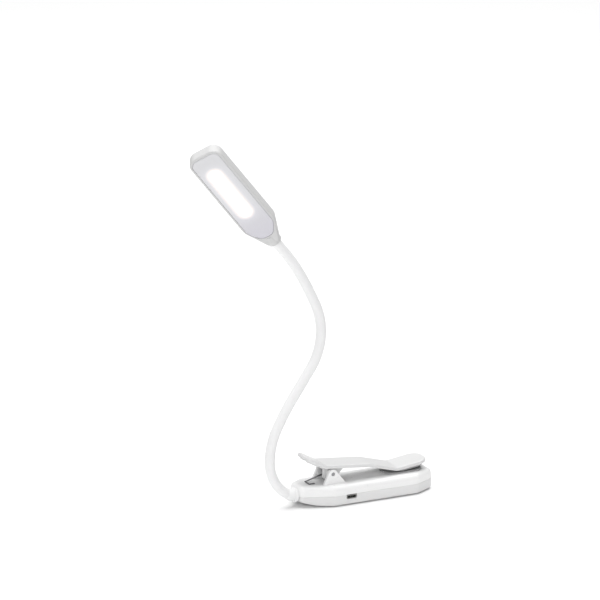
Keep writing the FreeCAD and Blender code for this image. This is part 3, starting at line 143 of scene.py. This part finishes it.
def mix_colour(nt, fac, a, b):
    n = add(nt, "ShaderNodeMix", data_type="RGBA")
    nt.links.new(fac, n.inputs["Factor"])
    n.inputs["A"].default_value = (*a, 1)
    n.inputs["B"].default_value = (*b, 1)
    return n.outputs["Result"]


def bump(nt, bsdf, height, strength, distance, after=None):
    n = add(nt, "ShaderNodeBump")
    n.inputs["Strength"].default_value = strength
    n.inputs["Distance"].default_value = distance
    nt.links.new(height, n.inputs["Height"])
    if after is not None:
        nt.links.new(after, n.inputs["Normal"])
    nt.links.new(n.outputs["Normal"], bsdf.inputs["Normal"])
    return n.outputs["Normal"]


def white_plastic(name, tone, rough=0.36, grain=0.5, cool=1.0, spec=0.5, coat=0.12):
    """Satin moulded ABS: fine spark-eroded grain, a little uneven in gloss."""
    m, nt, bsdf = principled(
        name,
        (tone, tone, tone * cool),
        rough,
        Coat_Weight=coat,
        Coat_Roughness=0.18,
        Specular_IOR_Level=spec,
    )
    co = object_coords(nt)
    cloud = noise(nt, co, 55.0, 2.0)
    nt.links.new(
        mix_colour(
            nt,
            cloud,
            (tone * 0.988, tone * 0.988, tone * 0.985 * cool),
            (tone * 1.01, tone * 1.01, tone * 1.012 * cool),
        ),
        bsdf.inputs["Base Color"],
    )
    nt.links.new(
        remap(nt, noise(nt, co, 320.0, 4.0), 0.3, 0.7, rough - 0.05, rough + 0.07),
        bsdf.inputs["Roughness"],
    )
    bump(nt, bsdf, noise(nt, co, 5200.0, 2.0), grain * 0.12, 0.00002)
    return m


def rubber(name, dark, light, rough, scale=2600.0):
    m, nt, bsdf = principled(name, dark, rough, Specular_IOR_Level=0.35)
    co = object_coords(nt)
    nt.links.new(mix_colour(nt, noise(nt, co, 240.0, 4.0, 0.6), dark, light), bsdf.inputs["Base Color"])
    nt.links.new(
        remap(nt, noise(nt, co, 700.0, 3.0), 0.3, 0.7, rough - 0.08, rough + 0.06),
        bsdf.inputs["Roughness"],
    )
    bump(nt, bsdf, noise(nt, co, scale, 3.0), 0.35, 0.00006)
    return m


def metal(name, colour, rough, stretch=(1, 1, 1), scale=900.0):
    m, nt, bsdf = principled(name, colour, rough, Metallic=1.0)
    co = object_coords(nt)
    mapping = add(nt, "ShaderNodeMapping")
    mapping.inputs["Scale"].default_value = stretch
    nt.links.new(co, mapping.inputs["Vector"])
    n = noise(nt, mapping.outputs["Vector"], scale, 4.0, 0.6)
    nt.links.new(remap(nt, n, 0.3, 0.7, rough - 0.1, rough + 0.12), bsdf.inputs["Roughness"])
    dark = tuple(c * 0.82 for c in colour)
    nt.links.new(mix_colour(nt, n, dark, colour), bsdf.inputs["Base Color"])
    bump(nt, bsdf, n, 0.15, 0.00002)
    return m


def plain(name, a, b, rough, scale=500.0, metallic=0.0, strength=0.2):
    m, nt, bsdf = principled(name, a, rough, Metallic=metallic)
    co = object_coords(nt)
    n = noise(nt, co, scale, 3.0)
    nt.links.new(mix_colour(nt, n, a, b), bsdf.inputs["Base Color"])
    nt.links.new(remap(nt, n, 0.3, 0.7, rough - 0.06, rough + 0.08), bsdf.inputs["Roughness"])
    bump(nt, bsdf, n, strength, 0.00004)
    return m


M_UPPER = white_plastic("white_abs_upper", 0.82, rough=0.32)
# painted shade: the lower shell is the same white ABS as the upper one, painted darker (0.70 against 0.82)
# to stand in for the weak light from below
M_LOWER_PAINTED_SHADE = white_plastic("white_abs_lower_painted_shade", 0.70)
M_LEVER = white_plastic("white_abs_lever", 0.67, rough=0.40)
M_HEAD = white_plastic("white_abs_head", 0.59, rough=0.46, spec=0.12, coat=0.0)
M_BUTTON = white_plastic("white_abs_button", 0.80, rough=0.3)
M_SILICONE = rubber("white_silicone", (0.79, 0.79, 0.79), (0.82, 0.82, 0.825), 0.5, 3800.0)
M_BOOT = rubber("white_silicone_boot", (0.81, 0.81, 0.81), (0.84, 0.84, 0.845), 0.46, 3800.0)
M_PAD = rubber("grey_rubber", (0.30, 0.30, 0.305), (0.38, 0.38, 0.385), 0.62)
M_FOOT = rubber("grey_rubber_foot", (0.30, 0.30, 0.305), (0.37, 0.37, 0.375), 0.7)
M_STEEL = metal("steel_turned", (0.32, 0.32, 0.33), 0.38, (1, 0.2, 1))
M_SPRING = metal("spring_wire", (0.30, 0.30, 0.31), 0.34)
M_CORE = metal("wound_core", (0.45, 0.45, 0.46), 0.42, (1, 1, 3))
M_SOCKET = metal("plated_socket", (0.40, 0.40, 0.39), 0.26, (0.3, 1, 1), 1500.0)
M_TONGUE = plain("black_plastic", (0.006, 0.006, 0.006), (0.015, 0.015, 0.015), 0.5)
M_BOARD = plain("board_mask", (0.01, 0.10, 0.045), (0.015, 0.13, 0.06), 0.35, 900.0)
M_CELL = plain("cell_foil", (0.50, 0.52, 0.55), (0.62, 0.64, 0.66), 0.3, 220.0, 1.0, 0.5)
M_FOAM = plain("foam_tape", (0.03, 0.03, 0.03), (0.06, 0.06, 0.06), 0.95, 1500.0, 0.0, 0.8)
M_WIRE = plain("wire_jacket", (0.45, 0.02, 0.015), (0.55, 0.04, 0.03), 0.45)
M_LEDBOARD = plain("led_board_mask", (0.80, 0.80, 0.79), (0.86, 0.86, 0.85), 0.4)
M_PHOSPHOR = plain("led_phosphor", (0.75, 0.60, 0.12), (0.85, 0.72, 0.22), 0.5)
M_TRAY = plain("white_reflector", (0.86, 0.86, 0.86), (0.90, 0.90, 0.90), 0.55)

# the head's own axes: x across it, y from the collar to the tip, z out of the lit face
twist = JOINTS["head_twist"]
HEAD_O = Vector(twist["pos_m"])
HEAD_Y = Vector(twist["axis"]).normalized()
HEAD_Z = Vector((-0.428, -0.840, -0.334))
HEAD_Z = (HEAD_Z - HEAD_Y * HEAD_Z.dot(HEAD_Y)).normalized()
HEAD_X = HEAD_Y.cross(HEAD_Z).normalized()


def lens_material():
    """Frosted lens, lit from behind: a soft-edged white bar with a faint warm fringe."""
    m, nt, bsdf = principled(
        "frosted_lens", (0.70, 0.70, 0.72), 0.42, Coat_Weight=0.1, Coat_Roughness=0.3
    )
    co = object_coords(nt)
    sub = add(nt, "ShaderNodeVectorMath", operation="SUBTRACT")
    nt.links.new(co, sub.inputs[0])
    sub.inputs[1].default_value = HEAD_O

    def along(axis):
        n = add(nt, "ShaderNodeVectorMath", operation="DOT_PRODUCT")
        nt.links.new(sub.outputs["Vector"], n.inputs[0])
        n.inputs[1].default_value = axis
        return n.outputs["Value"]

    def math_node(op, a, b=None):
        n = add(nt, "ShaderNodeMath", operation=op)
        for i, v in enumerate((a, b)):
            if v is None:
                continue
            if isinstance(v, float):
                n.inputs[i].default_value = v
            else:
                nt.links.new(v, n.inputs[i])
        return n.outputs["Value"]

    x, y = along(HEAD_X), along(HEAD_Y)
    dy = math_node("MAXIMUM", math_node("SUBTRACT", math_node("ABSOLUTE", math_node("SUBTRACT", y, 0.0585)), 0.0195), 0.0)
    x = math_node("ADD", x, 0.0011)
    d = math_node("SQRT", math_node("ADD", math_node("MULTIPLY", x, x), math_node("MULTIPLY", dy, dy)))
    core = remap(nt, d, 0.0024, 0.0088, 1.0, 0.0, True)
    halo = remap(nt, d, 0.0050, 0.0135, 1.0, 0.0, True)
    ramp = add(nt, "ShaderNodeValToRGB")
    ramp.color_ramp.interpolation = "EASE"
    e = ramp.color_ramp.elements
    e[0].position, e[0].color = 0.0, (0.80, 0.78, 0.90, 1)
    e[1].position, e[1].color = 1.0, (1.0, 1.0, 1.0, 1)
    mid = e.new(0.30)
    mid.color = (1.0, 0.80, 0.69, 1)
    nt.links.new(core, ramp.inputs["Fac"])
    nt.links.new(ramp.outputs["Color"], bsdf.inputs["Emission Color"])
    glow = math_node("ADD", math_node("MULTIPLY", core, 0.62), math_node("MULTIPLY", halo, 0.07))
    nt.links.new(math_node("ADD", glow, 0.02), bsdf.inputs["Emission Strength"])
    # painted shade: away from the LEDs the frosted plastic is painted a shade deeper and cooler towards
    # the collar, where less of their light comes through
    tone = remap(nt, y, 0.010, 0.050, 1.0, 0.0, True)
    nt.links.new(mix_colour(nt, tone, (0.62, 0.62, 0.635), (0.56, 0.55, 0.595)), bsdf.inputs["Base Color"])
    bump(nt, bsdf, noise(nt, co, 6000.0, 2.0), 0.12, 0.00002)
    return m


M_LENS = lens_material()


def paint(node, material):
    data = NODES[node].data
    data.materials.clear()
    data.materials.append(material)


PAINT = {
    "base_lower_shell": M_LOWER_PAINTED_SHADE,
    "base_upper_shell": M_UPPER,
    "anti_slip_foot": M_FOOT,
    "case_screws": M_STEEL,
    "control_board": M_BOARD,
    "board_parts": M_TONGUE,
    "usb_socket": M_SOCKET,
    "usb_tongue": M_TONGUE,
    "tact_switch": M_TONGUE,
    "battery_cell": M_CELL,
    "battery_foam": M_FOAM,
    "battery_leads": M_WIRE,
    "jaw_pad_base": M_PAD,
    "jaw_pad_lever": M_PAD,
    "clip_pin": M_STEEL,
    "clip_spring": M_SPRING,
    "neck_boot": M_BOOT,
    "neck_anchor": M_STEEL,
    "neck_ferrule": M_STEEL,
    "clip_lever": M_LEVER,
    "power_button": M_BUTTON,
    "head_housing": M_HEAD,
    "diffuser_lens": M_LENS,
    "led_board": M_LEDBOARD,
    "led_chips": M_PHOSPHOR,
    "reflector_tray": M_TRAY,
    "head_wires": M_WIRE,
}
for name in NODES:
    if name.startswith("neck_core"):
        PAINT[name] = M_CORE
    if name.startswith("neck_sleeve"):
        PAINT[name] = M_SILICONE
for name, material in PAINT.items():
    paint(name, material)


# -------------------------------------------------------------- tube meshes
def new_object(name, verts, faces, material, smooth=True, sharp_rings=()):
    me = bpy.data.meshes.new(name)
    me.from_pydata([tuple(v) for v in verts], [], faces)
    me.update()
    for p in me.polygons:
        p.use_smooth = smooth
    if sharp_rings:
        rings = [set(r) for r in sharp_rings]
        for e in me.edges:
            a, b = e.vertices
            if any(a in r and b in r for r in rings):
                e.use_edge_sharp = True
    me.materials.append(material)
    o = bpy.data.objects.new(name, me)
    scene.collection.objects.link(o)
    return o


def swept(name, stations, material, sides=40, side_axis=Vector((0, 1, 0))):
    """A closed bar through stations of (centre, tangent, radius), with flat ends.

    side_axis lies across the path, so the rings don't twist on a planar path.
    """
    verts, faces, ring_sets = [], [], []
    for c, t, r in stations:
        b = side_axis
        n = t.cross(b).normalized()
        ring = []
        for i in range(sides):
            a = 2 * math.pi * i / sides
            ring.append(len(verts))
            verts.append(c + (n * math.cos(a) + b * math.sin(a)) * r)
        ring_sets.append(ring)
    for j in range(len(stations) - 1):
        lo, hi = ring_sets[j], ring_sets[j + 1]
        for i in range(sides):
            k = (i + 1) % sides
            faces.append((lo[i], lo[k], hi[k], hi[i]))
    faces.append(tuple(reversed(ring_sets[0])))
    faces.append(tuple(ring_sets[-1]))
    o = new_object(name, verts, faces, material, True, (ring_sets[0], ring_sets[-1]))
    bm = bmesh.new()
    bm.from_mesh(o.data)
    bmesh.ops.recalc_face_normals(bm, faces=bm.faces)
    bm.to_mesh(o.data)
    bm.free()
    return o


# ----------------------------------------------------- gooseneck centreline
# heading at each joint, from the joint's own position: the same arcs as the core
TURNS = [-41.1, -46.2, -26.3, -8.4, 0.0, 29.8, 28.7, 5.4, 9.6, 0.0]
STEP, FIRST, LAST = 0.02565, 0.0132, 0.0131
LENGTHS = [FIRST] + [STEP] * 8 + [LAST]
NECK_R = 0.00385
knots = [(-0.055, 0.0089, math.radians(177.0))]


def advance(knot, k, ds):
    x, z, th = knot
    turn = math.radians(TURNS[k]) * ds / LENGTHS[k]
    chord = ds if abs(turn) < 1e-9 else ds * math.sin(turn / 2) / (turn / 2)
    return (x + chord * math.cos(th + turn / 2), z + chord * math.sin(th + turn / 2), th + turn)


for k in range(10):
    knots.append(advance(knots[-1], k, LENGTHS[k]))


def station(k, ds, r=NECK_R):
    x, z, th = advance(knots[k], k, ds)
    return Vector((x, 0, z)), Vector((math.cos(th), 0, math.sin(th))), r


def stretch_stations(k, s0, s1, pitch=0.0006):
    n = max(2, int(math.ceil((s1 - s0) / pitch)))
    return [station(k, s0 + (s1 - s0) * i / n) for i in range(n + 1)]


middle = [LENGTHS[0] * 0.30] + [STEP / 2] * 8 + [LAST * 0.55]

root = swept("neck_skin_0", stretch_stations(0, 0.0, middle[0]), M_SILICONE)
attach(root, "base")
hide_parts("neck_sleeve_0")
for k in range(1, 10):
    path = stretch_stations(k - 1, middle[k - 1], LENGTHS[k - 1]) + stretch_stations(k, 0.0, middle[k])[1:]
    piece = swept("neck_skin_%d" % k, path, M_SILICONE)
    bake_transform(piece)
    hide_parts("neck_sleeve_%d" % k)
end = swept("neck_skin_10", stretch_stations(9, middle[9], LAST + 0.0012), M_SILICONE)
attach(end, "neck_9")

# ---- boot: a rounded ring against the nose, a groove, then a flare down the neck
BOOT = [
    (0.02, 5.55), (0.10, 5.72), (0.25, 5.84), (0.45, 5.89), (0.95, 5.90), (1.45, 5.89),
    (1.65, 5.84), (1.80, 5.72), (1.88, 5.55), (1.92, 5.15), (2.02, 4.98), (2.20, 5.02),
    (2.45, 5.12), (2.90, 5.14), (3.50, 5.04), (4.20, 4.84), (5.00, 4.60), (5.80, 4.40),
    (6.50, 4.26), (7.00, 4.18), (7.22, 4.12), (7.34, 4.02), (7.38, 3.90),
]
boot = swept("neck_boot_skin", [station(0, s * MM, r * MM) for s, r in BOOT], M_BOOT, 56)
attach(boot, "base")
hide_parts("neck_boot")

# ---- spring: the CAD spring's mesh copied and baked in place; it is attached to no body
src = NODES["clip_spring"]
spring_mesh = src.data.copy()
spring_mesh.transform(src.matrix_world)
spring = bpy.data.objects.new("clip_spring_skin", spring_mesh)
scene.collection.objects.link(spring)
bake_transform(spring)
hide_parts("clip_spring")

# ------------------------------------------------------------------- stage
floor_m, nt, bsdf = principled("pale_floor", (0.955, 0.955, 0.955), 0.7)
co = object_coords(nt)
nt.links.new(
    mix_colour(nt, noise(nt, co, 3.0, 2.0), (0.95, 0.95, 0.95), (0.96, 0.96, 0.96)),
    bsdf.inputs["Base Color"],
)
floor = new_object(
    "floor",
    [Vector((-12, -12, 0)), Vector((12, -12, 0)), Vector((12, 12, 0)), Vector((-12, 12, 0))],
    [(0, 1, 2, 3)],
    floor_m,
    False,
)
